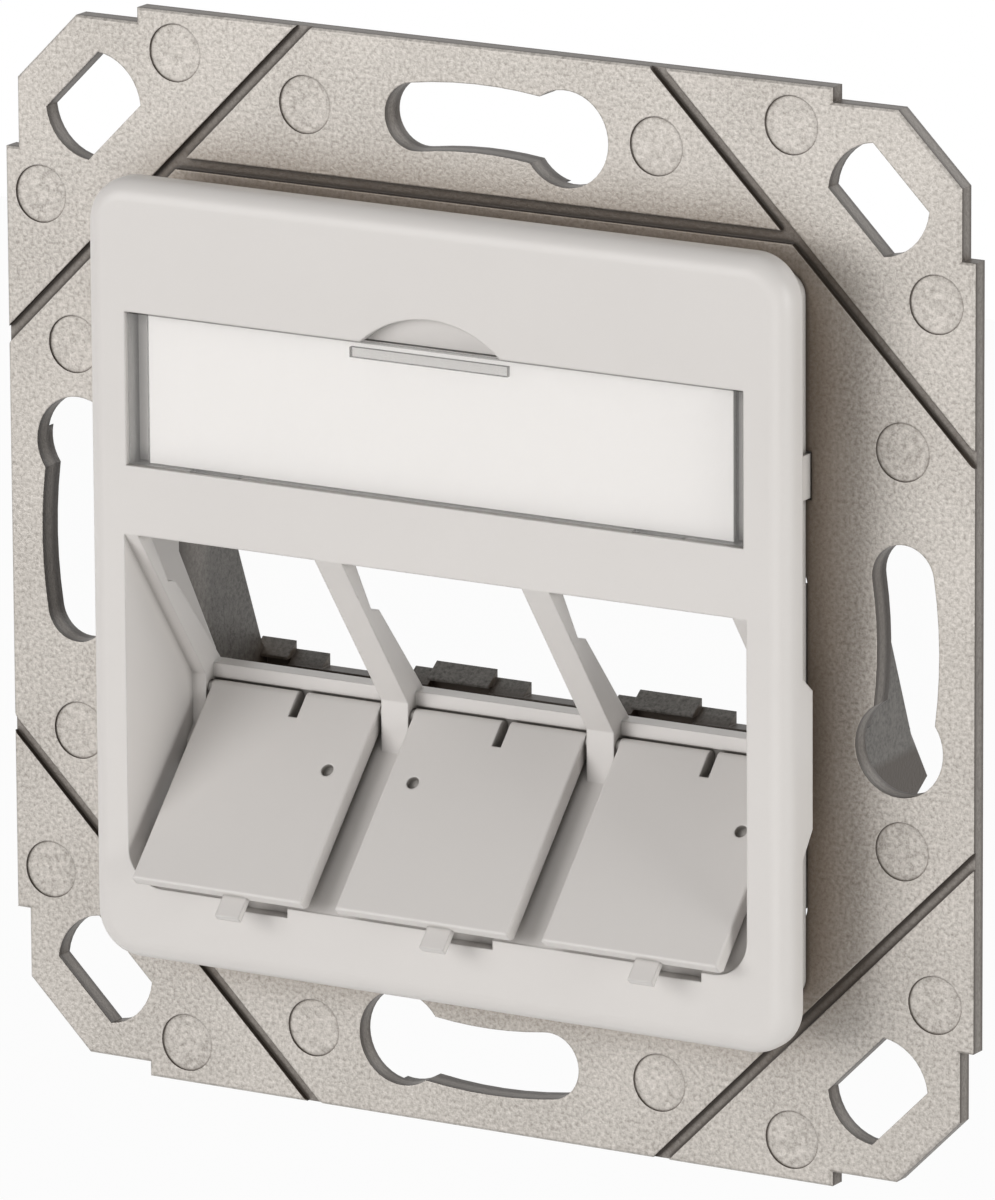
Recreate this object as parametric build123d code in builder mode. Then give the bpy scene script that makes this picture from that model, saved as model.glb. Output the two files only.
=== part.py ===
from build123d import *
import os
from math import cos, radians, sin, tan

# Flush-mounted socket outlet for three jack modules, with its dust flaps lying open.
# X is to the right, Y goes into the wall and Z is up. Sizes are in millimetres.
# The origin is the centre of the support ring on the wall plane.

# Circle of the wall box's screws, which sets the size of the ring.
screw_circle = 60.0

# Support ring: a die-cast plate that is screwed over the wall box.
ring_border = 4.5
ring_plate = 1.3
ring_corner_run = 9.8
ring_edge_step = 0.93
ring_corner_cut = 4.38
ring_edge_bevel = 0.15

# Four keyholes on the circle of the box screws.
keyhole_count = 4
keyhole_width = 4.3
keyhole_round_r = 3.05
keyhole_narrow_angle = 8.8
keyhole_round_angle = 11.7
keyhole_collar_width = 0.9
keyhole_collar_height = 0.5

# Corner holes: round, cut by two flats that face the ring's corner.
corner_hole_r = 3.5
corner_hole_flats = 4.36
corner_hole_inset = 6.57

# Grooves in the ring's face, and the round marks of the casting die.
groove_width = 0.8
groove_depth = 0.35
corner_groove_run = 21.95
level_groove_inset = 9.57
pin_mark_r = 1.85
pin_mark_depth = 0.12
inner_mark_run = 22.0
inner_mark_inset = 4.9
outer_mark_run = 12.6
outer_mark_inset = 2.6

# Cover plate: its front face stands off the ring's face.
cover_size = 50.0
cover_corner_r = 3.0
cover_edge_r = 1.3
cover_stand = 6.1
rim_thickness = 2.0
skirt_wall = 0.7
skirt_corner_r = 1.5

# Ears that deepen the rim at its two sides.
ear_width = 1.0
ear_depth = 1.2
ear_top_z = -1.3
ear_bottom_z = -12.7
ear_top_slant = 1.0
ear_bottom_slant = 1.7

# Window for the modules: three bays with dividers between them.
bay_count = 3
bay_pitch = 14.8
divider_width = 1.95
window_top_z = 2.5
window_bottom_z = -20.1
window_corner_r = 2.4

# Dust flaps, and the pivot that carries them.
flap_slope = 46.7
flap_side_gap = 0.25
flap_reach = 14.2
flap_thickness = 1.0
flap_edge_r = 0.15
flap_end_bevel = 0.3
pivot_depth = 8.45
pivot_z = -9.1
pin_r = 0.4
pin_clearance = 0.05
pin_hold = 0.5
pin_end_gap = 0.06
bearing_lip = 0.65
hinge_gap = 0.15
flap_swing = 98.0

# Features on each flap.
flap_slot_width = 0.65
flap_slot_length = 2.05
flap_slot_x = 0.4
flap_dimple_r = 0.42
flap_dimple_depth = 0.4
flap_dimple_x = 4.3
flap_dimple_down = 4.85
flap_dimple_sides = (1, -1, 1)
flap_names = ("dust_flap_left", "dust_flap_middle", "dust_flap_right")
flap_tab_x = 1.2
flap_tab_width = 1.7
flap_tab_length = 1.5
flap_tab_thickness = 0.45
flap_tab_sink = 0.45

# Ramp under the flaps, the bar behind their hinges and the dividers' rear edges.
ramp_slope = 48.2
ramp_gap = 0.6
ramp_wall = 1.1
ramp_slot_width = 0.9
ramp_slot_end = 0.8
hinge_bar_front = 0.3
hinge_bar_bottom = 0.6
hinge_bar_height = 0.9
hinge_bar_depth = 1.35
apex_rise = 0.95
divider_top_depth = 1.4
divider_step_z = -1.2
divider_upper_depth = 3.5
divider_step = 0.9
side_wall_top_z = 0.0
side_wall_rear = 3.2
side_wall_rear_top_z = -7.2
side_wall_rear_bottom_z = -10.9
side_wall_bottom_z = -15.5
side_wall_lip = 0.25
side_wall_lip_top_z = 3.5
side_wall_lip_bottom_z = -17.0
finger_notch_x = 2.2
finger_notch_width = 4.0
finger_notch_height = 0.6
finger_notch_depth = 1.0

# Label field: a recess that takes the card and its clear window.
label_width = 44.0
label_height = 9.8
label_z = 11.8
label_depth = 1.5
label_floor = 1.0
label_clearance = 0.12
window_sink = 0.15
window_face = 0.7
window_foot = 1.0
card_side_gap = 1.2
card_edge_gap = 0.12
card_thickness = 0.3
card_gap = 0.05
grip_width = 11.2
grip_height = 0.65
grip_rise = 0.35
grip_down = 0.35
foot_tab_x = 15.8
foot_tab_width = 3.5
foot_tab_drop = 0.5
foot_tab_sink = 0.2
foot_tab_thickness = 0.4
foot_notch_lip = 0.35
foot_notch_depth = 1.1
nail_width = 10.0
nail_rise = 1.9
nail_depth = 0.9
nail_top_depth = 0.6

# Snap hooks that hold the cover in the ring.
hook_wall = 1.0
hook_barb = 0.5
hook_play = 0.1
hook_tip = 1.0
side_hook_z = 10.3
side_hook_height = 2.8
lower_hook_x = 14.0
lower_hook_width = 4.0

# Module carrier behind the ring's aperture, cast in one with the ring.
aperture_top_z = 4.5
aperture_bottom_z = -18.0
aperture_corner_r = 1.0
cover_clearance = 0.1
cheek_root = 1.3
cheek_tip = 0.95
cheek_top_z = 7.5
cheek_top_depth = 3.45
cheek_kink = (10.0, -8.4)
cheek_corner = (12.2, -11.6)
cheek_heel = (10.8, -12.45)
cheek_foot_z = -20.5
crossbar_front = 9.7
crossbar_wall = 1.2
crossbar_top_z = -9.6
crossbar_bottom_z = -11.8
latch_low_rise = 0.77
latch_low_left = -4.74
latch_low_right = 3.73
latch_high_rise = 1.3
latch_high_left = -3.19
latch_high_right = 1.25
latch_fall = 0.85
latch_foot = 0.5
latch_lip = 0.15
pocket_depth = 0.9
pocket_height = 1.1

# Sizes that follow from the ones above.
ring_size = screw_circle + 2 * ring_border
ring_half = ring_size / 2
ring_full_edge = ring_size - 2 * ring_corner_run
corner_hole_out = (ring_half - corner_hole_inset) * 2 ** 0.5
corner_groove_out = (ring_size - corner_groove_run) / 2 ** 0.5
level_groove_z = ring_half - level_groove_inset
inner_mark = (ring_half - inner_mark_run, ring_half - inner_mark_inset)
outer_mark = (ring_half - outer_mark_run, ring_half - outer_mark_inset)
pin_mark_spots = [inner_mark, (-inner_mark[0], inner_mark[1]), outer_mark, (-outer_mark[0], outer_mark[1])]
ring_front = -ring_plate
cover_front = ring_front - cover_stand
window_width = bay_count * bay_pitch
skirt_size = window_width + 2 * skirt_wall
bay_width = bay_pitch - divider_width
flap_width = bay_width - 2 * flap_side_gap
bay_centres = [(i - (bay_count - 1) / 2) * bay_pitch for i in range(bay_count)]
pivot_y = cover_front + pivot_depth
apex_y = pivot_y - bearing_lip
apex_z = pivot_z + apex_rise
bar_front_y = pivot_y + hinge_bar_front
bar_rear_y = bar_front_y + hinge_bar_depth
bar_bottom_z = pivot_z + hinge_bar_bottom
bar_top_z = bar_bottom_z + hinge_bar_height
slope = radians(flap_slope)
label_bottom_z = label_z - label_height / 2
label_top_z = label_z + label_height / 2
pane_width = label_width - 2 * label_clearance
pane_height = label_height - 2 * label_clearance
card_width = label_width - 2 * card_side_gap
card_height = label_height - 2 * card_edge_gap
pane_bottom_z = label_z - pane_height / 2
pane_front = cover_front + window_sink
pane_back = pane_front + window_face
foot_back = cover_front + label_depth - card_gap
aperture_half = skirt_size / 2 + cover_clearance
crossbar_width = 2 * aperture_half + cheek_tip
latch_places = [(i - bay_count / 2) * bay_pitch for i in range(bay_count + 1)]
crossbar_rear = crossbar_front + crossbar_wall
latch_lip_z = crossbar_top_z + latch_high_rise - latch_fall - latch_lip
latch_steps = [
    (latch_low_rise, latch_low_left, latch_low_right),
    (latch_high_rise, latch_high_left, latch_high_right),
]
lower_hook_z = aperture_bottom_z + hook_play + hook_wall


def face_plane(y):
    # A plane parallel to the wall at this y. Its normal looks out of the wall.
    return Plane.XZ.offset(-y)


def side_plane(x):
    # An upright plane across the wall. Its own axes are Y and Z.
    return Plane.YZ.offset(x)


def on_flap(along, above):
    # A point of the open flap, counted from its pivot down the flap and up from its middle.
    y = pivot_y - along * cos(slope) - above * sin(slope)
    z = pivot_z - along * sin(slope) + above * cos(slope)
    return (y, z)


def on_ramp(y, drop=0.0):
    # The height of the ramp at this y, or of a plane that lies this far under it.
    start_y, start_z = on_flap(0, -(flap_thickness / 2 + ramp_gap + drop))
    return start_z + (y - start_y) * tan(radians(ramp_slope))


def ramp_reach(z, drop=0.0):
    # The y at which the ramp, or a plane this far under it, has this height.
    start_y, start_z = on_flap(0, -(flap_thickness / 2 + ramp_gap + drop))
    return start_y + (z - start_z) / tan(radians(ramp_slope))


def latch_outline(rise):
    # Side view of a latch step: a slope from the crossbar's front up to a ridge at its rear.
    return [
        (crossbar_rear, crossbar_top_z - latch_foot),
        (crossbar_rear, crossbar_top_z + rise),
        (crossbar_front, crossbar_top_z + rise - latch_fall),
        (crossbar_front, crossbar_top_z - latch_foot),
    ]


def hook_outline(root):
    # One snap hook from this y on: an arm, and a barb with a sloped nose behind the ring.
    return [
        (root, 0),
        (hook_tip, 0),
        (hook_tip, hook_wall - hook_barb / 2),
        (hook_play, hook_wall + hook_barb),
        (hook_play, hook_wall),
        (root, hook_wall),
    ]


os.makedirs("parts", exist_ok=True)

# Outline of the ring: each side is full size in its middle and steps in towards the corners.
with BuildSketch(mode=Mode.PRIVATE) as ring_outline:
    Rectangle(ring_size - 2 * ring_edge_step, ring_size - 2 * ring_edge_step)
    chamfer(ring_outline.vertices(), ring_corner_cut)
    Rectangle(ring_size, ring_full_edge)
    Rectangle(ring_full_edge, ring_size)

# A keyhole runs along the screw circle, from a narrow end to a round one.
with BuildSketch(mode=Mode.PRIVATE) as keyhole:
    with BuildLine(mode=Mode.PRIVATE) as keyhole_path:
        CenterArc((0, 0), screw_circle / 2, 90 + keyhole_narrow_angle, -keyhole_narrow_angle - keyhole_round_angle)
    SlotArc(keyhole_path.edges()[0], keyhole_width)
    with Locations(Rot(0, 0, -keyhole_round_angle) * Pos(0, screw_circle / 2, 0)):
        Circle(keyhole_round_r)

with BuildSketch(mode=Mode.PRIVATE) as keyhole_collar:
    SlotArc(keyhole_path.edges()[0], keyhole_width + 2 * keyhole_collar_width)

with BuildSketch(mode=Mode.PRIVATE) as corner_hole:
    Circle(corner_hole_r)
    Rectangle(corner_hole_flats, 2 * corner_hole_r, mode=Mode.INTERSECT)

with BuildPart() as support_ring:
    # Plate with a fine bevel round its front edge.
    with BuildSketch(Plane.XZ):
        add(ring_outline.sketch)
    extrude(amount=ring_plate - ring_edge_bevel)
    with BuildSketch(face_plane(ring_front + ring_edge_bevel)):
        add(ring_outline.sketch)
    extrude(amount=ring_edge_bevel, taper=45)

    # Collars thicken the back around the narrow part of the keyholes.
    with BuildSketch(Plane.XZ):
        with PolarLocations(0, keyhole_count):
            add(keyhole_collar.sketch)
    extrude(amount=-keyhole_collar_height)

    # Cheeks of the module carrier: plates with a little draft, trimmed to their side view.
    with BuildPart(mode=Mode.PRIVATE) as cheek:
        with BuildSketch(Plane.XY.offset(cheek_foot_z)):
            with BuildLine():
                Polyline(
                    (aperture_half, ring_front),
                    (aperture_half + cheek_root, ring_front),
                    (aperture_half + cheek_tip, cheek_corner[0]),
                    (aperture_half, cheek_corner[0]),
                    close=True,
                )
            make_face()
        extrude(amount=cheek_top_z - cheek_foot_z)
        with BuildSketch(side_plane(0)):
            with BuildLine():
                Polyline(
                    (ring_front + ring_plate / 2, cheek_top_z),
                    (cheek_top_depth, cheek_top_z),
                    cheek_kink,
                    cheek_corner,
                    cheek_heel,
                    (ring_front + ring_plate / 2, cheek_foot_z),
                    close=True,
                )
            make_face()
        extrude(amount=ring_size, both=True, mode=Mode.INTERSECT)
    add(cheek.part)
    add(cheek.part.mirror(Plane.YZ))

    # Crossbar between the cheeks' ends, with a stepped latch behind each divider and side wall.
    with BuildPart(mode=Mode.PRIVATE) as crossbar:
        with BuildSketch(face_plane(crossbar_front)):
            with Locations((0, (crossbar_top_z + crossbar_bottom_z) / 2)):
                Rectangle(crossbar_width, crossbar_top_z - crossbar_bottom_z)
        extrude(amount=-crossbar_wall)
        for place in latch_places:
            for rise, left, right in latch_steps:
                with BuildSketch(side_plane(place + (left + right) / 2)):
                    with BuildLine():
                        Polyline(*latch_outline(rise), close=True)
                    make_face()
                extrude(amount=(right - left) / 2, both=True)
        with BuildSketch(face_plane(crossbar_front)):
            for place in latch_places:
                with Locations((place + (latch_high_left + latch_high_right) / 2, latch_lip_z - pocket_height / 2)):
                    Rectangle(latch_high_right - latch_high_left, pocket_height)
        extrude(amount=-pocket_depth, mode=Mode.SUBTRACT)
        with BuildSketch(face_plane(crossbar_front)):
            Rectangle(crossbar_width, ring_size)
        extrude(amount=crossbar_wall, both=True, mode=Mode.INTERSECT)
    add(crossbar.part)

    # Aperture that the cover's walls and the modules pass through.
    with BuildSketch(face_plane(ring_front)):
        with Locations((0, (aperture_top_z + aperture_bottom_z) / 2)):
            RectangleRounded(2 * aperture_half, aperture_top_z - aperture_bottom_z, aperture_corner_r)
    extrude(amount=-ring_plate, mode=Mode.SUBTRACT)

    # Screw keyholes and corner holes go right through.
    with BuildSketch(Plane.XZ.offset(-keyhole_collar_height)):
        with PolarLocations(0, keyhole_count):
            add(keyhole.sketch)
        with PolarLocations(corner_hole_out, 4, start_angle=45):
            add(corner_hole.sketch)
    extrude(amount=ring_plate + keyhole_collar_height, mode=Mode.SUBTRACT)

    # Slots for the cover's side hooks.
    with BuildSketch(face_plane(ring_front)):
        slot_inner = skirt_size / 2 - skirt_wall - hook_play - hook_barb
        slot_outer = skirt_size / 2 - skirt_wall + hook_wall + hook_play
        with GridLocations(slot_inner + slot_outer, 0, 2, 1):
            with Locations((0, side_hook_z)):
                Rectangle(slot_outer - slot_inner, side_hook_height + 2 * hook_play)
    extrude(amount=-ring_plate, mode=Mode.SUBTRACT)

    # Grooves across the corners, and above and below the cover.
    with BuildSketch(face_plane(ring_front)):
        with PolarLocations(corner_groove_out, 4, start_angle=45):
            Rectangle(groove_width, ring_size / 2)
        with GridLocations(0, 2 * level_groove_z, 1, 2):
            groove_run = 2 * (corner_groove_out * 2 ** 0.5 - level_groove_z)
            Rectangle(groove_run, groove_width)
    extrude(amount=-groove_depth, mode=Mode.SUBTRACT)

    # Marks of the ejector pins.
    with BuildSketch(face_plane(ring_front)):
        with PolarLocations(0, 4):
            with Locations(*pin_mark_spots):
                Circle(pin_mark_r)
    extrude(amount=-pin_mark_depth, mode=Mode.SUBTRACT)
support_ring.part.label = "support_ring"
export_step(support_ring.part, "parts/support_ring.step")

# Side view of a divider: a sloped front, a facet under the apex and a stepped rear edge.
divider_foot_z = on_ramp(apex_y, ramp_wall / 2)
divider_outline = [
    (cover_front, window_top_z + rim_thickness / 2),
    (cover_front, window_top_z),
    (apex_y, apex_z),
    (apex_y, divider_foot_z),
    (bar_rear_y, divider_foot_z),
    (bar_rear_y, bar_top_z - divider_step / 2),
    (cover_front + divider_upper_depth + divider_step, divider_step_z - divider_step / 5),
    (cover_front + divider_upper_depth, divider_step_z),
    (cover_front + divider_top_depth, window_top_z),
    (cover_front + divider_top_depth, window_top_z + rim_thickness / 2),
]

# Side view of a side wall behind the rim.
side_wall_outline = [
    (cover_front + rim_thickness, side_wall_lip_top_z),
    (ring_front + side_wall_lip, side_wall_lip_top_z),
    (ring_front + side_wall_lip, side_wall_top_z),
    (side_wall_rear, side_wall_rear_top_z),
    (side_wall_rear, side_wall_rear_bottom_z),
    (ring_front + side_wall_lip, side_wall_bottom_z),
    (ring_front + side_wall_lip, side_wall_lip_bottom_z),
    (cover_front + rim_thickness, side_wall_lip_bottom_z),
]
lower_hook_root = ramp_reach(lower_hook_z, ramp_wall / 4)

# Side view of the ramp, the cradle above it and the bar behind the hinges.
ramp_top = on_flap(0, -(flap_thickness / 2 + ramp_gap))
ramp_outline = [
    (cover_front, on_ramp(cover_front)),
    ramp_top,
    (bar_front_y, bar_bottom_z),
    (bar_front_y, bar_top_z),
    (bar_rear_y, bar_top_z),
    (bar_rear_y, on_ramp(bar_rear_y, ramp_wall)),
    (cover_front, on_ramp(cover_front, ramp_wall)),
]

with BuildPart() as cover_plate:
    # Rim: a flat plate with rounded corners and a soft front edge.
    with BuildSketch(face_plane(cover_front + rim_thickness)):
        RectangleRounded(cover_size, cover_size, cover_corner_r)
    extrude(amount=rim_thickness)
    front_edges = cover_plate.faces().sort_by(Axis.Y)[0].edges()
    fillet(front_edges, cover_edge_r)

    # Skirt behind the rim, down to the ring.
    with BuildSketch(face_plane(ring_front)):
        RectangleRounded(skirt_size, skirt_size, skirt_corner_r)
        Rectangle(window_width, skirt_size - 2 * skirt_wall, mode=Mode.SUBTRACT)
    extrude(amount=cover_stand - rim_thickness)

    # Floor of the label field.
    with BuildSketch(face_plane(cover_front + rim_thickness)):
        with Locations((0, label_z)):
            Rectangle(window_width, label_height + 2 * skirt_wall)
    extrude(amount=rim_thickness - label_depth - label_floor)

    # Window for the modules.
    with BuildSketch(face_plane(cover_front + rim_thickness)) as module_window:
        with Locations((0, (window_top_z + window_bottom_z) / 2)):
            Rectangle(window_width, window_top_z - window_bottom_z)
        fillet(module_window.vertices().group_by(Axis.Y)[0], window_corner_r)
    extrude(amount=rim_thickness, mode=Mode.SUBTRACT)

    # Side walls behind the rim. They run through the ring's aperture to the hinges.
    for side in (-1, 1):
        with BuildSketch(side_plane(side * (window_width + skirt_wall) / 2)):
            with BuildLine():
                Polyline(*side_wall_outline, close=True)
            make_face()
        extrude(amount=skirt_wall / 2, both=True)

    # Dividers between the bays, and half as wide ones along the side walls.
    for place in (-bay_pitch / 2, bay_pitch / 2):
        with BuildSketch(side_plane(place)):
            with BuildLine():
                Polyline(*divider_outline, close=True)
            make_face()
        extrude(amount=divider_width / 2, both=True)
    for side in (-1, 1):
        with BuildSketch(side_plane(side * (window_width / 2 - divider_width / 4))):
            with BuildLine():
                Polyline(*divider_outline, close=True)
            make_face()
        extrude(amount=divider_width / 4, both=True)

    # Ramp under the open flaps, with the bar behind their hinges.
    with BuildSketch(side_plane(0)):
        with BuildLine():
            Polyline(*ramp_outline, close=True)
        make_face()
    extrude(amount=window_width / 2, both=True)

    # Slots beside the ramp, along the side walls.
    slot_front = cover_front + rim_thickness
    slot_rear = apex_y - ramp_slot_end
    with BuildSketch(face_plane(slot_front)):
        with GridLocations(window_width - ramp_slot_width, 0, 2, 1):
            with Locations((0, (pivot_z + window_bottom_z) / 2)):
                Rectangle(ramp_slot_width, pivot_z - window_bottom_z)
    extrude(amount=slot_front - slot_rear, mode=Mode.SUBTRACT)

    # Cradle for the round hinge edges, and bearings for their pins.
    for centre in bay_centres:
        with BuildSketch(side_plane(centre)):
            with Locations((pivot_y, pivot_z)):
                Circle(flap_thickness / 2 + hinge_gap)
        extrude(amount=bay_width / 2, both=True, mode=Mode.SUBTRACT)
        with BuildSketch(side_plane(centre)):
            with Locations((pivot_y, pivot_z)):
                Circle(pin_r + pin_clearance)
        extrude(amount=bay_width / 2 + pin_hold + pin_end_gap, both=True, mode=Mode.SUBTRACT)

    # Notches in the rim under the flaps' finger tabs.
    with BuildSketch(face_plane(cover_front + finger_notch_depth)):
        for centre in bay_centres:
            with Locations((centre + finger_notch_x, window_bottom_z)):
                Rectangle(finger_notch_width, 2 * finger_notch_height)
    extrude(amount=finger_notch_depth, mode=Mode.SUBTRACT)

    # Ears that deepen the rim at its sides.
    rim_back = cover_front + rim_thickness
    for side in (-1, 1):
        with BuildSketch(side_plane(side * (cover_size - ear_width) / 2)):
            with BuildLine():
                Polyline(
                    (rim_back, ear_top_z),
                    (rim_back + ear_depth, ear_top_z - ear_top_slant),
                    (rim_back + ear_depth, ear_bottom_z + ear_bottom_slant),
                    (rim_back, ear_bottom_z),
                    close=True,
                )
            make_face()
        extrude(amount=ear_width / 2, both=True)

    # Snap hooks: one on each side wall, and two under the ramp.
    for side in (-1, 1):
        hook_plane = Plane((side * window_width / 2, 0, side_hook_z), x_dir=(0, 1, 0), z_dir=(0, 0, -side))
        with BuildSketch(hook_plane):
            with BuildLine():
                Polyline(*hook_outline(rim_back), close=True)
            make_face()
        extrude(amount=side_hook_height / 2, both=True)
    for side in (-1, 1):
        hook_plane = Plane((side * lower_hook_x, 0, lower_hook_z), x_dir=(0, 1, 0), z_dir=(-1, 0, 0))
        with BuildSketch(hook_plane):
            with BuildLine():
                Polyline(*hook_outline(lower_hook_root), close=True)
            make_face()
        extrude(amount=lower_hook_width / 2, both=True)

    # Recess for the label, with notches for the tabs of its window.
    with BuildSketch(face_plane(cover_front + label_depth)):
        with Locations((0, label_z)):
            Rectangle(label_width, label_height)
    extrude(amount=label_depth, mode=Mode.SUBTRACT)
    with BuildSketch(face_plane(cover_front + foot_notch_lip + foot_notch_depth)):
        for side in (-1, 1):
            with Locations((side * foot_tab_x, label_bottom_z)):
                Rectangle(foot_tab_width + 2 * label_clearance, 2 * (foot_tab_drop + label_clearance))
    extrude(amount=foot_notch_depth, mode=Mode.SUBTRACT)

    # Scoop for a fingernail above the label: an arc in front view with a sloping floor.
    with BuildPart(mode=Mode.PRIVATE) as nail_scoop:
        with BuildSketch(face_plane(cover_front + label_depth)):
            with BuildLine():
                ThreePointArc(
                    (nail_width / 2, label_top_z),
                    (0, label_top_z + nail_rise),
                    (-nail_width / 2, label_top_z),
                )
                Line((-nail_width / 2, label_top_z), (nail_width / 2, label_top_z))
            make_face()
        extrude(amount=2 * label_depth)
        with BuildSketch(side_plane(0)):
            with BuildLine():
                Polyline(
                    (cover_front - label_depth, label_top_z + nail_rise),
                    (cover_front + nail_top_depth, label_top_z + nail_rise),
                    (cover_front + nail_depth, label_top_z),
                    (cover_front - label_depth, label_top_z),
                    close=True,
                )
            make_face()
        extrude(amount=nail_width, both=True, mode=Mode.INTERSECT)
    add(nail_scoop.part, mode=Mode.SUBTRACT)
cover_plate.part.label = "cover_plate"
export_step(cover_plate.part, "parts/cover_plate.step")

with BuildPart() as label_window:
    # Clear face with a foot at each end.
    with BuildSketch(face_plane(pane_back)):
        with Locations((0, label_z)):
            Rectangle(pane_width, pane_height)
    extrude(amount=window_face)
    with BuildSketch(face_plane(foot_back)):
        with Locations((0, label_z)):
            Rectangle(pane_width, pane_height)
            Rectangle(pane_width - 2 * window_foot, pane_height, mode=Mode.SUBTRACT)
    extrude(amount=foot_back - pane_back)

    # Grip ridge along the top, and the tabs that it tilts on.
    with BuildSketch(face_plane(pane_front)):
        with Locations((0, label_top_z - grip_down - grip_height / 2)):
            Rectangle(grip_width, grip_height)
    extrude(amount=grip_rise)
    with BuildSketch(face_plane(pane_front + foot_tab_sink + foot_tab_thickness)):
        for side in (-1, 1):
            with Locations((side * foot_tab_x, pane_bottom_z)):
                Rectangle(foot_tab_width, 2 * foot_tab_drop)
    extrude(amount=foot_tab_thickness)
label_window.part.label = "label_window"
export_step(label_window.part, "parts/label_window.step")

with BuildPart() as label_card:
    with BuildSketch(face_plane(pane_back + card_gap + card_thickness)):
        with Locations((0, label_z)):
            Rectangle(card_width, card_height)
    extrude(amount=card_thickness)
label_card.part.label = "label_card"
export_step(label_card.part, "parts/label_card.step")

# Dust flaps: alike but for the side that their dimple is on.
for name, centre, dimple_side in zip(flap_names, bay_centres, flap_dimple_sides):
    flap_plane = Plane(
        (centre, pivot_y, pivot_z),
        x_dir=(1, 0, 0),
        z_dir=(0, -sin(slope), cos(slope)),
    )
    with BuildPart() as dust_flap:
        # Slab that lies on the ramp, with softened edges on its upper side.
        with BuildSketch(flap_plane.offset(-flap_thickness / 2)):
            with Locations((0, -flap_reach / 2)):
                Rectangle(flap_width, flap_reach)
        extrude(amount=flap_thickness)
        upper_edges = dust_flap.edges().group_by(Axis((0, 0, 0), (0, -sin(slope), cos(slope))))[-1]
        fillet(upper_edges.sort_by(Axis.Z)[:-1], flap_edge_r)

        # Bevel under the free edge, so that it lies low on the rim.
        lower_edges = dust_flap.edges().group_by(Axis((0, 0, 0), (0, -sin(slope), cos(slope))))[0]
        chamfer(lower_edges.sort_by(Axis.Z)[0], flap_end_bevel)

        # Round hinge edge and its two pins.
        with BuildSketch(side_plane(centre)):
            with Locations((pivot_y, pivot_z)):
                Circle(flap_thickness / 2)
        extrude(amount=flap_width / 2, both=True)
        with BuildSketch(side_plane(centre)):
            with Locations((pivot_y, pivot_z)):
                Circle(pin_r)
        extrude(amount=bay_width / 2 + pin_hold, both=True)

        # Finger tab on the free edge.
        with BuildSketch(flap_plane.offset(flap_thickness / 2 - flap_tab_sink - flap_tab_thickness)):
            with Locations((flap_tab_x, -flap_reach)):
                Rectangle(flap_tab_width, 2 * flap_tab_length)
        extrude(amount=flap_tab_thickness)

        # Slot in the hinge edge and the gate dimple.
        with BuildSketch(flap_plane.offset(-flap_thickness)):
            with Locations((flap_slot_x, flap_thickness / 2)):
                Rectangle(flap_slot_width, 2 * flap_slot_length)
        extrude(amount=2 * flap_thickness, mode=Mode.SUBTRACT)
        with BuildSketch(flap_plane.offset(flap_thickness / 2)):
            with Locations((dimple_side * flap_dimple_x, -flap_dimple_down)):
                Circle(flap_dimple_r)
        extrude(amount=-flap_dimple_depth, mode=Mode.SUBTRACT)
    dust_flap.part.label = name
    export_step(dust_flap.part, f"parts/{name}.step")
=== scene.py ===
import math

import bmesh
import bpy
from mathutils import Matrix, Vector

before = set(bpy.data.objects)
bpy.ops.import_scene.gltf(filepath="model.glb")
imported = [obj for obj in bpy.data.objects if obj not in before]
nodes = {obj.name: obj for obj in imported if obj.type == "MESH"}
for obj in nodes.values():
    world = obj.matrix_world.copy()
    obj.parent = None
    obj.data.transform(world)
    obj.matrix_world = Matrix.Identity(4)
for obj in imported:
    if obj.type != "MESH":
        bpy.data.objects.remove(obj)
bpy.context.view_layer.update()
print("frame loaded:", ", ".join(sorted(nodes)))


# A socket of a shader tree that can be used in sums and products.
# Numbers go in as plain values, and each operation adds one Math node.
class Value:
    def __init__(self, finish, socket):
        self.finish = finish
        self.socket = socket

    def math(self, operation, first, second):
        return self.finish.math(operation, first, second)

    def __add__(self, other):
        return self.math("ADD", self, other)

    def __radd__(self, other):
        return self.math("ADD", other, self)

    def __sub__(self, other):
        return self.math("SUBTRACT", self, other)

    def __rsub__(self, other):
        return self.math("SUBTRACT", other, self)

    def __mul__(self, other):
        return self.math("MULTIPLY", self, other)

    def __rmul__(self, other):
        return self.math("MULTIPLY", other, self)

    def __gt__(self, level):
        return self.math("GREATER_THAN", self, level)


# A face counts as front or back while its normal is within 60 degrees of the depth, and this
# is the cosine of that. Any other face counts as a side.
facingLimit = 0.5


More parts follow.
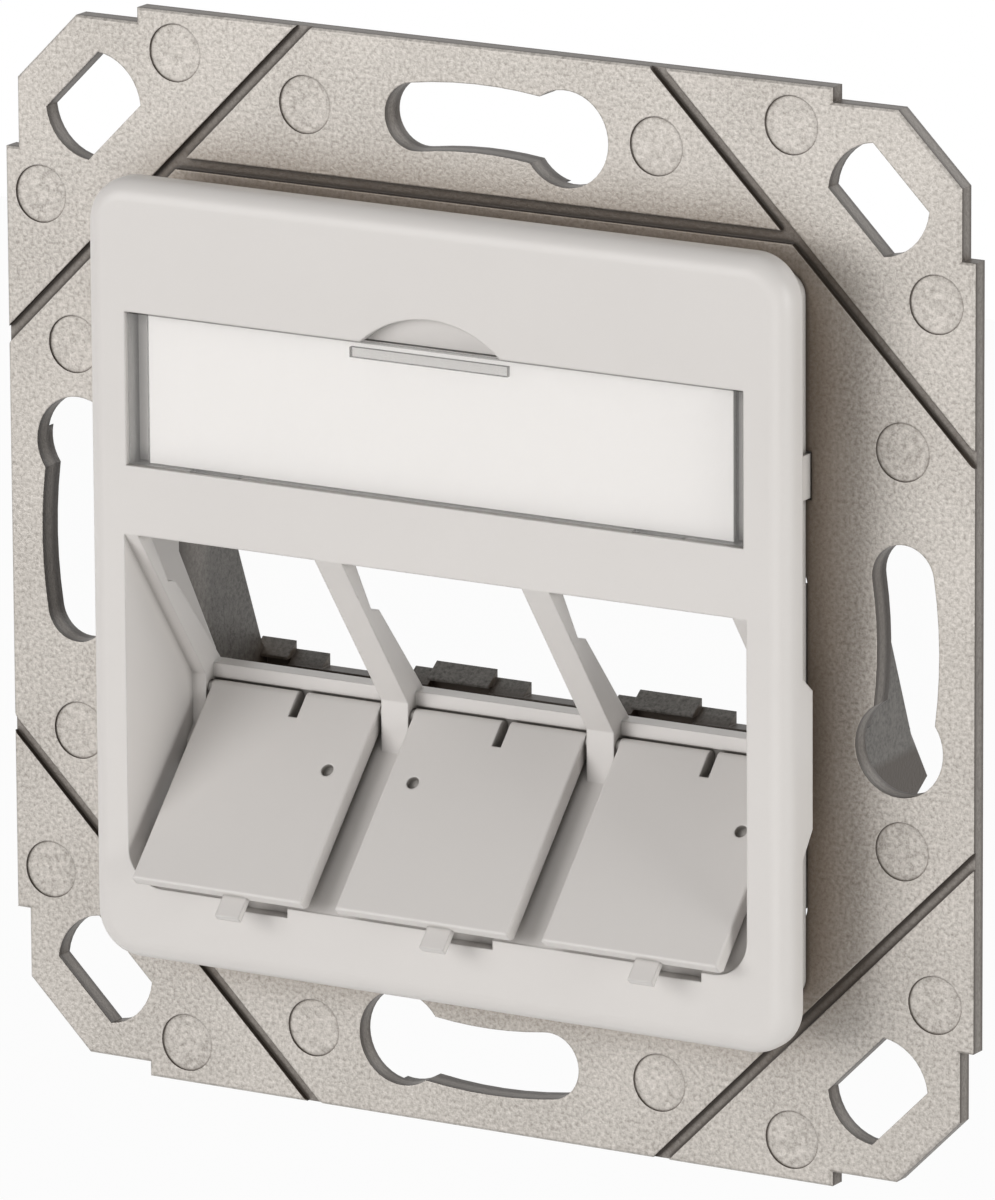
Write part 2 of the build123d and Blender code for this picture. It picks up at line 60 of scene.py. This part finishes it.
# The node tree of one material, or of the world.
# node() makes any node: its settings first, then its sockets.
class Finish:
    def __init__(self, owner):
        owner.use_nodes = True
        self.owner = owner
        self.tree = owner.node_tree
        self.tree.nodes.clear()

    def node(self, kind, settings=None, sockets=None, out=0):
        made = self.tree.nodes.new(kind)
        for name, value in (settings or {}).items():
            if name == "stops":
                self.fillRamp(made.color_ramp, value)
            else:
                setattr(made, name, value)
        for name, value in (sockets or {}).items():
            if isinstance(value, Value):
                self.tree.links.new(value.socket, made.inputs[name])
            else:
                made.inputs[name].default_value = value
        return Value(self, made.outputs[out]) if made.outputs else None

    def math(self, operation, first, second=0.0):
        return self.node("ShaderNodeMath", {"operation": operation}, {0: first, 1: second})

    def fillRamp(self, ramp, stops):
        while len(ramp.elements) < len(stops):
            ramp.elements.new(1.0)
        for element, (place, grey) in zip(ramp.elements, stops):
            element.position = place
            element.color = (grey, grey, grey, 1.0)

    def place(self):
        return self.node("ShaderNodeTexCoord", out="Object")

    def along(self, axis):
        return self.node("ShaderNodeSeparateXYZ", {}, {0: self.place()}, out=axis)

    def noise(self, size, detail=2.0, roughness=0.5, stretch=None):
        where = self.place()
        if stretch:
            where = self.node("ShaderNodeMapping", {}, {"Vector": where, "Scale": stretch})
        sockets = {"Vector": where, "Scale": 1.0 / size, "Detail": detail, "Roughness": roughness}
        return self.node("ShaderNodeTexNoise", {"noise_dimensions": "3D"}, sockets)

    def sway(self, noise, amount):
        return (noise - 0.5) * amount  # a noise lies round 0.5, and its sway round zero

    def ramp(self, factor, stops):
        return self.node("ShaderNodeValToRGB", {"stops": stops}, {"Fac": factor})

    def mix(self, factor, first, second):
        sockets = {0: factor, 6: first, 7: second}
        return self.node("ShaderNodeMix", {"data_type": "RGBA"}, sockets, out=2)

    def mapRange(self, value, limits):
        low, high = limits
        sockets = {"Value": value, "From Min": low, "From Max": high}
        return self.node("ShaderNodeMapRange", {"clamp": True}, sockets)

    def inward(self):
        # 1 on the faces that look into the wall, and -1 on those that look out of it.
        normal = self.node("ShaderNodeNewGeometry", out="True Normal")
        sockets = {0: normal, 1: (0.0, 1.0, 0.0)}
        return self.node("ShaderNodeVectorMath", {"operation": "DOT_PRODUCT"}, sockets, out="Value")

    def backs(self):
        return self.inward() > facingLimit

    def sideways(self):
        return 1.0 - (self.math("ABSOLUTE", self.inward()) > facingLimit)

    def openness(self, reach):
        sockets = {"Distance": reach}
        return self.node("ShaderNodeAmbientOcclusion", {"samples": 8}, sockets, out="AO")

    def softEdges(self, radius):
        return self.node("ShaderNodeBevel", {"samples": 6}, {"Radius": radius})

    def bump(self, height, distance, strength, normal=None):
        sockets = {"Height": height, "Distance": distance, "Strength": strength}
        if normal:
            sockets["Normal"] = normal
        return self.node("ShaderNodeBump", {}, sockets)

    def backdropRays(self):
        # 1 where the backdrop is seen: straight on, in a reflection, or through the clear strip.
        seen = self.node("ShaderNodeLightPath", out="Is Camera Ray")
        for ray in ("Is Glossy Ray", "Is Transmission Ray"):
            seen = self.math("MAXIMUM", seen, self.node("ShaderNodeLightPath", out=ray))
        return seen

    def surface(self, sockets):
        shader = self.node("ShaderNodeBsdfPrincipled", {}, sockets)
        self.node("ShaderNodeOutputMaterial", {}, {"Surface": shader})
        return self.owner


# Depths and heights are in metres in the part's frame: the ring's front is at -0.0013, and
# its back at zero.
castMetal = {
    "paleColour": (0.605, 0.57, 0.53, 1.0),
    "darkColour": (0.27, 0.248, 0.222, 1.0),
    "metallic": 0.5,
    "roughness": 0.48,
    "roughnessSway": 0.25,
    "grainSize": 0.00026,
    "grainShare": 0.8,
    "grainDepth": 0.00005,
    "grainStrength": 0.6,
    "flowSize": 0.011,
    "flowShare": 0.2,
    "speckle": [(0.32, 0.0), (0.5, 0.55), (0.68, 1.0)],
    "edgeSoftness": 0.00012,
    # painted shade colour for the walls, grooves, crevices, carrier and crossbar foot
    "paintedShadeColour": (0.045, 0.033, 0.024, 1.0),
    # painted shade on the walls of the slots and in the grooves
    "wallDepths": (-0.0013, 0.0),
    "wallShade": [(0.0, 0.98), (0.2, 0.95), (0.36, 0.7), (0.7, 0.62), (1.0, 0.97)],
    "grooveDepths": (-0.00116, -0.001),
    "grooveBack": -0.0008,
    "grooveShade": 0.55,
    # painted shade of the carrier behind the ring
    "rearShadedPale": (0.118, 0.112, 0.103, 1.0),
    "rearShadedDark": (0.028, 0.026, 0.024, 1.0),
    "rearDepths": (0.0001, 0.004),
    "rearShadeShare": 0.9,
    "rearShade": 0.7,
    # painted shade on the crossbar below the latches
    "footHeights": (-0.0091, -0.0097),
    "footShade": 0.85,
    # painted shade in narrow crevices
    "creviceReach": 0.00045,
    "creviceCover": (0.1, 0.42),
    "creviceShade": 0.8,
    # painted brown shadow near the cover and painted shade in hollows
    "shelterReach": 0.0065,
    "shelterCover": (0.15, 0.7),
    "shelterShadeColour": (0.18, 0.126, 0.08, 1.0),
    "shelterShade": 0.85,
    "hollowCover": (0.6, 0.85),
    "hollowShadeColour": (0.02, 0.014, 0.009, 1.0),
}


def makeCastMetal(name):
    finish = Finish(bpy.data.materials.new(name))
    look = castMetal
    grain = finish.noise(look["grainSize"], detail=3.0, roughness=0.65)
    flow = finish.noise(look["flowSize"], detail=3.0)
    mottle = grain * look["grainShare"] + flow * look["flowShare"]
    speckle = finish.ramp(mottle, look["speckle"])
    colour = finish.mix(speckle, look["darkColour"], look["paleColour"])
    depth = finish.along("Y")
    height = finish.along("Z")
    # The carrier behind the ring is painted darker than the ring's front: painted shade for the
    # parts that lie deep inside.
    rear = finish.mapRange(depth, look["rearDepths"])
    rearShadedTone = finish.mix(speckle, look["rearShadedDark"], look["rearShadedPale"])
    colour = finish.mix(rear * look["rearShadeShare"], colour, rearShadedTone)
    # Close to the cover and in hollows, the metal is painted a brown shade: painted shadow of the
    # cover and painted shade in the hollows.
    cover = 1.0 - finish.openness(look["shelterReach"])
    sheltered = finish.mapRange(cover, look["shelterCover"])
    colour = finish.mix(sheltered * look["shelterShade"], colour, look["shelterShadeColour"])
    colour = finish.mix(finish.mapRange(cover, look["hollowCover"]), colour, look["hollowShadeColour"])
    # The walls of the slots are painted darkest at their edges, and the grooves and crevices along
    # their foot: painted shade.
    through = finish.mapRange(depth, look["wallDepths"])
    wall = finish.sideways() * finish.ramp(through, look["wallShade"]) * (1.0 - rear)
    front = finish.mapRange(depth, look["grooveDepths"])
    groove = front * (1.0 - (depth > look["grooveBack"])) * look["grooveShade"]
    crevice = finish.mapRange(1.0 - finish.openness(look["creviceReach"]), look["creviceCover"])
    dark = finish.math("MAXIMUM", wall, groove + crevice * look["creviceShade"])
    dark = finish.math("MAXIMUM", dark, rear * sheltered * look["rearShade"])
    # The crossbar below the feet of the latches is painted dark: painted shade.
    foot = finish.mapRange(height, look["footHeights"]) * rear
    foot = foot * (1.0 - finish.backs()) * look["footShade"]
    dark = finish.math("MAXIMUM", dark, foot)
    # All these dark marks are painted shade, and the metal is less metallic where they lie.
    colour = finish.mix(dark, colour, look["paintedShadeColour"])
    softened = finish.softEdges(look["edgeSoftness"])
    return finish.surface({
        "Base Color": colour,
        "Metallic": (1.0 - dark) * look["metallic"],
        "Roughness": look["roughness"] + finish.sway(grain, look["roughnessSway"]),
        "Normal": finish.bump(grain, look["grainDepth"], look["grainStrength"], softened),
    })


coverPlastic = {
    "colour": (0.715, 0.69, 0.668, 1.0),
    "shadeColour": (0.69, 0.665, 0.643, 1.0),
    "roughness": 0.4,
    "sparkSize": 0.00018,
    "sparkDepth": 0.000006,
    "sparkStrength": 0.5,
    "sparkSway": 0.08,
    "flowSize": 0.012,
    "flowSway": 0.12,
    "edgeSoftness": 0.00018,
    # painted shade in crevices and gaps
    "creviceShadeColour": (0.17, 0.155, 0.138, 1.0),
    "creviceReach": 0.0012,
    "creviceCover": (0.28, 0.66),
    "creviceShade": 0.88,
}

# The flaps use the cover's plastic painted a little darker: painted shade for faces that tilt up
# away from the light.
flapPlastic = dict(
    coverPlastic,
    colour=(0.705, 0.68, 0.658, 1.0),
    shadeColour=(0.68, 0.655, 0.633, 1.0),
    roughness=0.36,
)


def makePlastic(name, look):
    finish = Finish(bpy.data.materials.new(name))
    spark = finish.noise(look["sparkSize"])
    flow = finish.noise(look["flowSize"])
    colour = finish.mix(flow, look["shadeColour"], look["colour"])
    # Crevices and gaps are painted darker: painted shade.
    crevice = finish.mapRange(1.0 - finish.openness(look["creviceReach"]), look["creviceCover"])
    colour = finish.mix(crevice * look["creviceShade"], colour, look["creviceShadeColour"])
    sway = finish.sway(spark, look["sparkSway"])
    softened = finish.softEdges(look["edgeSoftness"])
    return finish.surface({
        "Base Color": colour,
        "Roughness": look["roughness"] + finish.sway(flow, look["flowSway"]) + sway,
        "Normal": finish.bump(spark, look["sparkDepth"], look["sparkStrength"], softened),
    })


clearPlastic = {
    "colour": (0.95, 0.95, 0.945, 1.0),
    # painted shade for the sides and ridge of the clear strip
    "sideShadeColour": (0.2, 0.195, 0.185, 1.0),
    "alpha": 0.1,
    "sideAlpha": 0.5,
    "ridgeAlpha": 0.22,
    "ridgeBack": -0.0073,
    "roughness": 0.1,
    "waveSize": 0.02,
    "waveDepth": 0.00001,
    "waveStrength": 0.5,
    "waveSway": 0.04,
}


def makeClearPlastic(name):
    finish = Finish(bpy.data.materials.new(name))
    look = clearPlastic
    wave = finish.noise(look["waveSize"], detail=1.0)
    # The sides and the ridge are painted dark and less clear: painted shade in place of the dark
    # look that light gives clear edges.
    side = finish.sideways()
    ridge = 1.0 - (finish.along("Y") > look["ridgeBack"])
    outline = finish.math("MAXIMUM", side, ridge)
    return finish.surface({
        "Base Color": finish.mix(outline, look["colour"], look["sideShadeColour"]),
        "Roughness": look["roughness"] + finish.sway(wave, look["waveSway"]),
        "Alpha": look["alpha"] + side * look["sideAlpha"] + ridge * look["ridgeAlpha"],
        "Normal": finish.bump(wave, look["waveDepth"], look["waveStrength"]),
    })


cardPaper = {
    "colour": (0.86, 0.84, 0.822, 1.0),
    "fibreColour": (0.815, 0.795, 0.778, 1.0),
    "roughness": 0.85,
    "fibreSize": 0.0006,
    "fibreStretch": (1.0, 1.0, 2.5),
    "fibreDepth": 0.00002,
    "fibreStrength": 0.4,
}


def makeCardPaper(name):
    finish = Finish(bpy.data.materials.new(name))
    look = cardPaper
    fibre = finish.noise(look["fibreSize"], detail=4.0, roughness=0.7, stretch=look["fibreStretch"])
    return finish.surface({
        "Base Color": finish.mix(fibre, look["fibreColour"], look["colour"]),
        "Roughness": look["roughness"],
        "Normal": finish.bump(fibre, look["fibreDepth"], look["fibreStrength"]),
    })


def dress(node, material):
    mesh = nodes[node].data
    mesh.materials.clear()
    mesh.materials.append(material)


coverMaterial = makePlastic("coverPlastic", coverPlastic)
flapMaterial = makePlastic("flapPlastic", flapPlastic)
dress("support_ring", makeCastMetal("castMetal"))
dress("cover_plate", coverMaterial)
dress("label_window", makeClearPlastic("clearPlastic"))
dress("label_card", makeCardPaper("cardPaper"))
for node in ("dust_flap_left", "dust_flap_middle", "dust_flap_right"):
    dress(node, flapMaterial)
nodes["label_window"].visible_shadow = False  # the clear strip casts no shade on its card
print("finishes given to", len(nodes), "nodes")


studio = {
    "floorHeight": -0.4,
    "floorSize": 1.6,
    "floorColour": (0.82, 0.82, 0.815, 1.0),
    "floorWhite": 0.96,
    "white": (1.0, 1.0, 1.0, 1.0),
    "worldColour": (1.0, 0.98, 0.955, 1.0),
    "worldStrength": 0.26,
    "lamps": [
        # name, place, size, watts, colour
        ("keyLamp", (-0.6, -0.9, 0.24), 0.75, 6.1, (1.0, 0.99, 0.985)),
        ("fillLamp", (0.25, -0.95, -0.12), 0.5, 1.35, (0.99, 0.99, 1.0)),
        ("sideLamp", (0.95, -0.16, 0.12), 0.5, 4.2, (1.0, 0.995, 0.985)),
        ("backLamp", (0.3, 0.95, 0.5), 0.8, 2.4, (1.0, 0.99, 0.98)),
    ],
}


def makeFloor():
    shape = bmesh.new()
    bmesh.ops.create_grid(shape, x_segments=1, y_segments=1, size=studio["floorSize"])
    bmesh.ops.translate(shape, verts=shape.verts, vec=(0.0, 0.0, studio["floorHeight"]))
    mesh = bpy.data.meshes.new("studioFloor")
    shape.to_mesh(mesh)
    shape.free()
    floor = bpy.data.objects.new("studioFloor", mesh)
    bpy.context.collection.objects.link(floor)
    finish = Finish(bpy.data.materials.new("floorPaint"))
    seen = finish.backdropRays() * studio["floorWhite"]
    plain = finish.node("ShaderNodeBsdfDiffuse", {}, {"Color": studio["floorColour"]})
    white = finish.node("ShaderNodeEmission", {}, {"Color": studio["white"], "Strength": 1.0})
    shade = finish.node("ShaderNodeMixShader", {}, {0: seen, 1: plain, 2: white})
    finish.node("ShaderNodeOutputMaterial", {}, {"Surface": shade})
    mesh.materials.append(finish.owner)


def makeWorld():
    finish = Finish(bpy.data.worlds.new("studioWorld"))
    light = {"Color": studio["worldColour"], "Strength": studio["worldStrength"]}
    soft = finish.node("ShaderNodeBackground", {}, light)
    white = finish.node("ShaderNodeBackground", {}, {"Color": studio["white"], "Strength": 1.0})
    sky = finish.node("ShaderNodeMixShader", {}, {0: finish.backdropRays(), 1: soft, 2: white})
    finish.node("ShaderNodeOutputWorld", {}, {"Surface": sky})
    bpy.context.scene.world = finish.owner


def makeLamps():
    for name, place, size, watts, colour in studio["lamps"]:
        data = bpy.data.lights.new(name, "AREA")
        data.shape = "DISK"
        data.size = size
        data.energy = watts
        data.color = colour
        lamp = bpy.data.objects.new(name, data)
        lamp.location = place
        lamp.rotation_euler = (-Vector(place)).to_track_quat("-Z", "Y").to_euler()
        bpy.context.collection.objects.link(lamp)


makeFloor()
makeWorld()
makeLamps()
print("studio built")


# The camera stands where the photograph was taken from, as its perspective shows.
# Angles are in degrees and lengths in metres, but the lens and the picture are in pixels, and
# the sensor is in millimetres.
photoCamera = {
    "azimuth": 30.65,
    "elevation": 14.25,
    "roll": -0.36,
    "distance": 0.811,
    "across": 0.00095,
    "above": -0.00034,
    "aimDepth": -0.0013,
    "lensPixels": 13137.0,
    "pictureHeight": 1200.0,
    "sensor": 36.0,
    "clipStart": 0.01,
    "clipEnd": 10.0,
}


def makeCamera():
    look = photoCamera
    around, above, roll = (math.radians(look[key]) for key in ("azimuth", "elevation", "roll"))
    flat = math.cos(above)
    back = Vector((math.sin(around) * flat, -math.cos(around) * flat, math.sin(above)))
    level = Vector((math.cos(around), math.sin(around), 0.0))
    upright = back.cross(level)
    right = level * math.cos(roll) + upright * math.sin(roll)
    up = upright * math.cos(roll) - level * math.sin(roll)
    place = back * look["distance"] + right * look["across"] + up * look["above"]
    place.y += look["aimDepth"]
    data = bpy.data.cameras.new("photoCamera")
    data.sensor_width = look["sensor"]
    data.lens = look["lensPixels"] * look["sensor"] / look["pictureHeight"]
    data.clip_start = look["clipStart"]
    data.clip_end = look["clipEnd"]
    camera = bpy.data.objects.new("photoCamera", data)
    axes = Matrix((right, up, back)).transposed().to_4x4()
    camera.matrix_world = Matrix.Translation(place) @ axes
    bpy.context.collection.objects.link(camera)
    bpy.context.scene.camera = camera


makeCamera()
bpy.context.scene.view_settings.view_transform = "Standard"
print("camera set")
